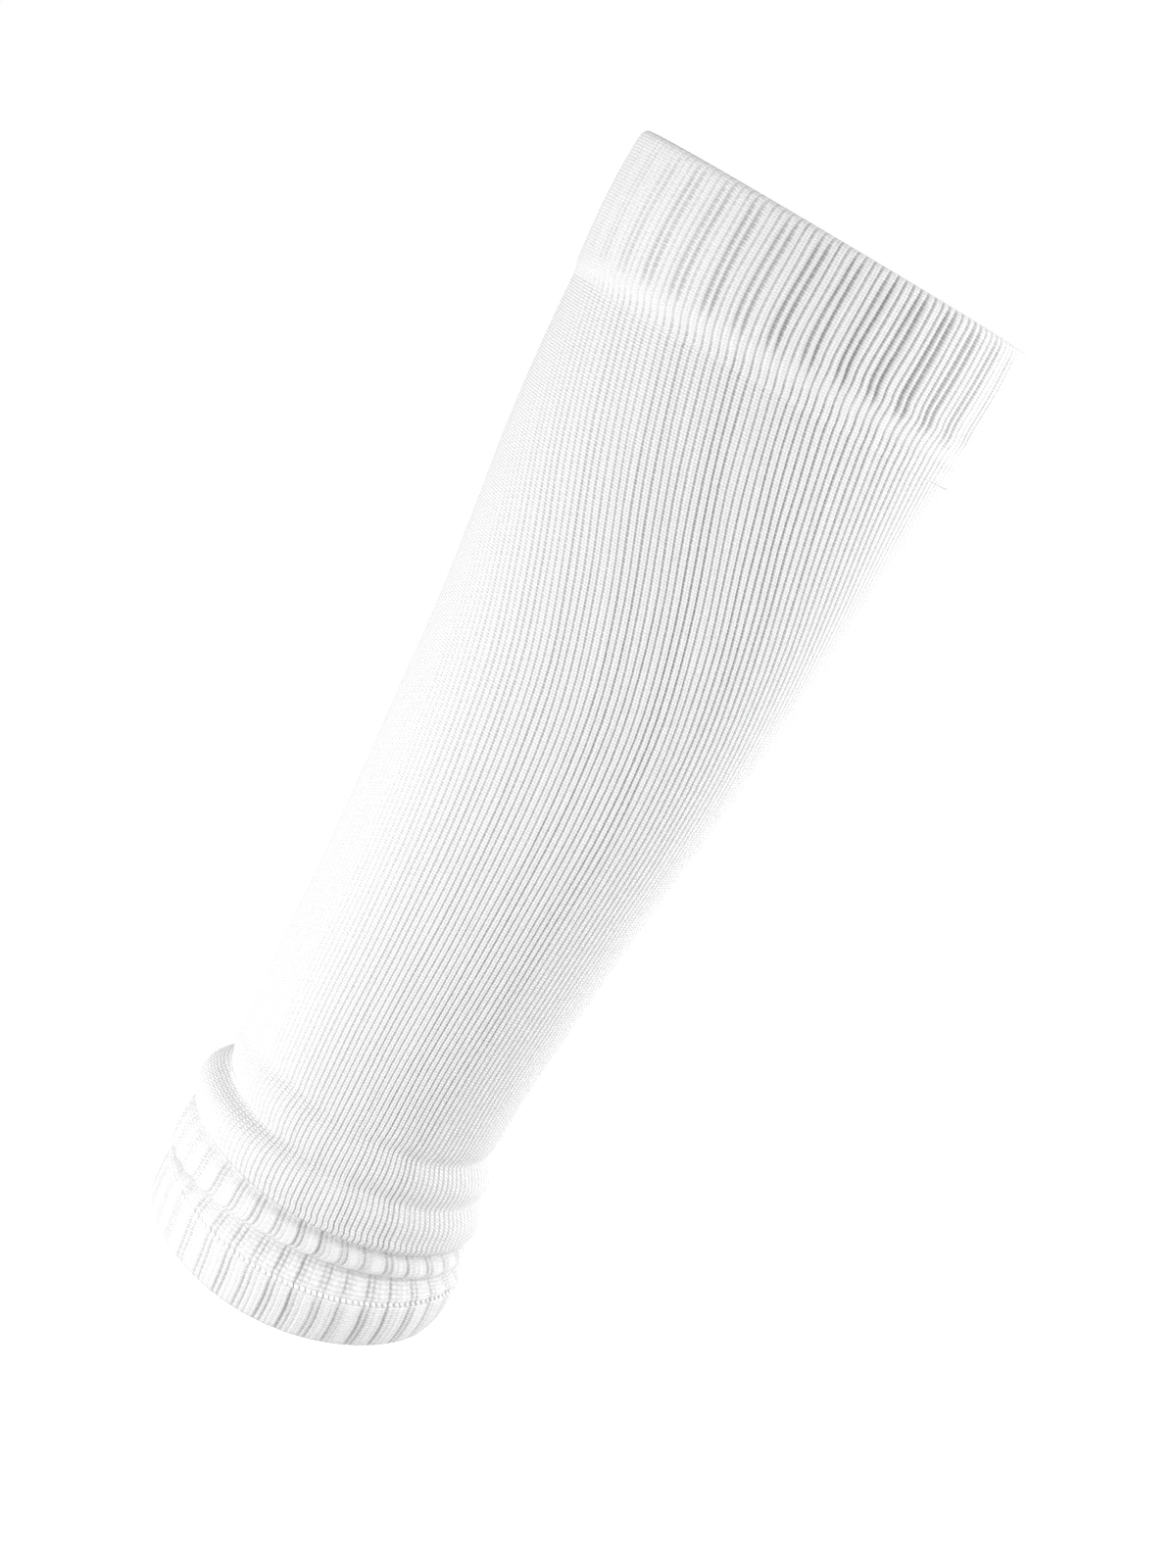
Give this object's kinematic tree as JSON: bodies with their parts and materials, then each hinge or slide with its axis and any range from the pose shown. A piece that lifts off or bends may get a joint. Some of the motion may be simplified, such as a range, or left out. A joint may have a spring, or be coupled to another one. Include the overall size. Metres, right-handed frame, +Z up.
{
  "type": "knitted leg sleeve",
  "caption": "Knitted calf sleeve in its worn form: a tapering open jersey tube with a turned rib cuff at the knee end and a rib cuff gathered into folds at the ankle.",
  "frame": {"origin": "on the leg's axis, at half the height of the knee cuff, where the cuff grips the leg", "axes": "+Z up the leg from ankle to knee, -Y out of the side that the picture shows, +X to that side's right"},
  "size_m": [0.1146, 0.111, 0.3148],
  "materials": {
    "rib_knit": "white ribbed stretch knit, matt",
    "jersey_knit": "white plain stretch jersey, matt"
  },
  "bodies": {
    "root": {"knee_cuff": "rib_knit", "leg_tube": "jersey_knit", "ankle_cuff": "rib_knit"}
  },
  "joints": []
}
